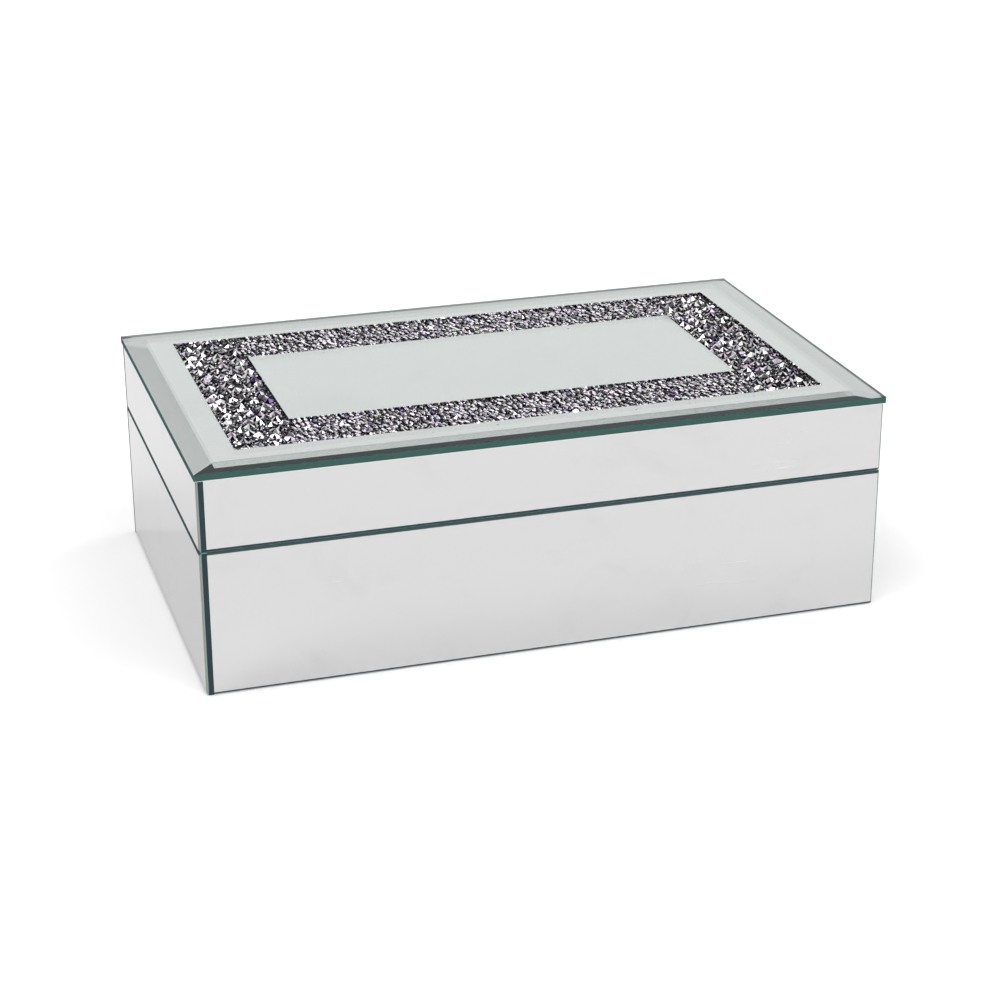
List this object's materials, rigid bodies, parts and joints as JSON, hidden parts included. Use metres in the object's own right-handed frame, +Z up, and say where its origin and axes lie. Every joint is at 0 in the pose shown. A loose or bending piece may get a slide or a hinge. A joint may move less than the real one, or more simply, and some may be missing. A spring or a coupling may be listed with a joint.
{
  "type": "mirrored trinket box",
  "caption": "Low rectangular mirrored keepsake box with a bevelled top, a faceted crystal border and a hinged lid over a velvet interior with ring rolls and a divided tray.",
  "frame": {"origin": "centre of the underside, on the surface the box stands on", "axes": "+X along the length to the right as seen from the front, +Y to the hinged back, +Z up"},
  "size_m": [0.282, 0.1743, 0.0924],
  "materials": {
    "felt": "flocked black felt",
    "silvering": "silver coat behind clear glass",
    "clear_glass": "clear float glass, polished, faint green",
    "crystal": "foil-backed pointed crystal, silver with lavender glints",
    "mirror_panel": "silvered glass, faint smudges, polished green edge",
    "velvet": "midnight-blue short-pile velvet",
    "ring_velvet": "near-black velvet over foam",
    "pad_velvet": "midnight-blue velvet over a thin pad",
    "foam": "dark grey upholstery foam",
    "satin_ribbon": "slate-grey satin ribbon",
    "stud_metal": "nickel-plated domed stud",
    "screw_metal": "steel, black lacquer",
    "hinge_metal": "steel, satin black lacquer",
    "board": "fine fibreboard"
  },
  "bodies": {
    "base": {"base_back_board": "board", "base_back_lining": "velvet", "base_back_mirror": "mirror_panel", "base_bottom_board": "board", "base_front_board": "board", "base_front_lining": "velvet", "base_front_mirror": "mirror_panel", "base_hinge_screws": "screw_metal", "base_left_board": "board", "base_left_lining": "velvet", "base_left_mirror": "mirror_panel", "base_right_board": "board", "base_right_lining": "velvet", "base_right_mirror": "mirror_panel", "base_stay_stud": "stud_metal", "bottom_felt": "felt", "divider_core": "board", "divider_cover": "velvet", "floor_lining": "velvet", "left_hinge_base_leaf": "hinge_metal", "left_hinge_pin": "hinge_metal", "right_hinge_base_leaf": "hinge_metal", "right_hinge_pin": "hinge_metal", "ring_bed_foam": "foam", "ring_roll_1": "ring_velvet", "ring_roll_2": "ring_velvet", "ring_roll_3": "ring_velvet", "ring_roll_4": "ring_velvet", "ring_roll_5": "ring_velvet", "ring_roll_6": "ring_velvet", "ring_roll_7": "ring_velvet", "stay_ribbon": "satin_ribbon"},
    "lid": {"crystal_strip_back": "crystal", "crystal_strip_front": "crystal", "crystal_strip_left": "crystal", "crystal_strip_right": "crystal", "left_hinge_lid_leaf": "hinge_metal", "lid_back_board": "board", "lid_back_lining": "velvet", "lid_back_mirror": "mirror_panel", "lid_front_board": "board", "lid_front_lining": "velvet", "lid_front_mirror": "mirror_panel", "lid_hinge_screws": "screw_metal", "lid_left_board": "board", "lid_left_lining": "velvet", "lid_left_mirror": "mirror_panel", "lid_pad": "pad_velvet", "lid_right_board": "board", "lid_right_lining": "velvet", "lid_right_mirror": "mirror_panel", "lid_stay_stud": "stud_metal", "lid_top_board": "board", "right_hinge_lid_leaf": "hinge_metal", "top_centre_silvering": "silvering", "top_frame_silvering": "silvering", "top_glass_centre": "clear_glass", "top_glass_frame": "clear_glass"}
  },
  "joints": [
    {"name": "lid_hinge", "type": "hinge", "parent": "base", "child": "lid", "pos_m": [0, 0.0857, 0.0598], "axis": [-1, 0, 0], "range_deg": [0, 97], "deforming": ["stay_ribbon"]}
  ]
}
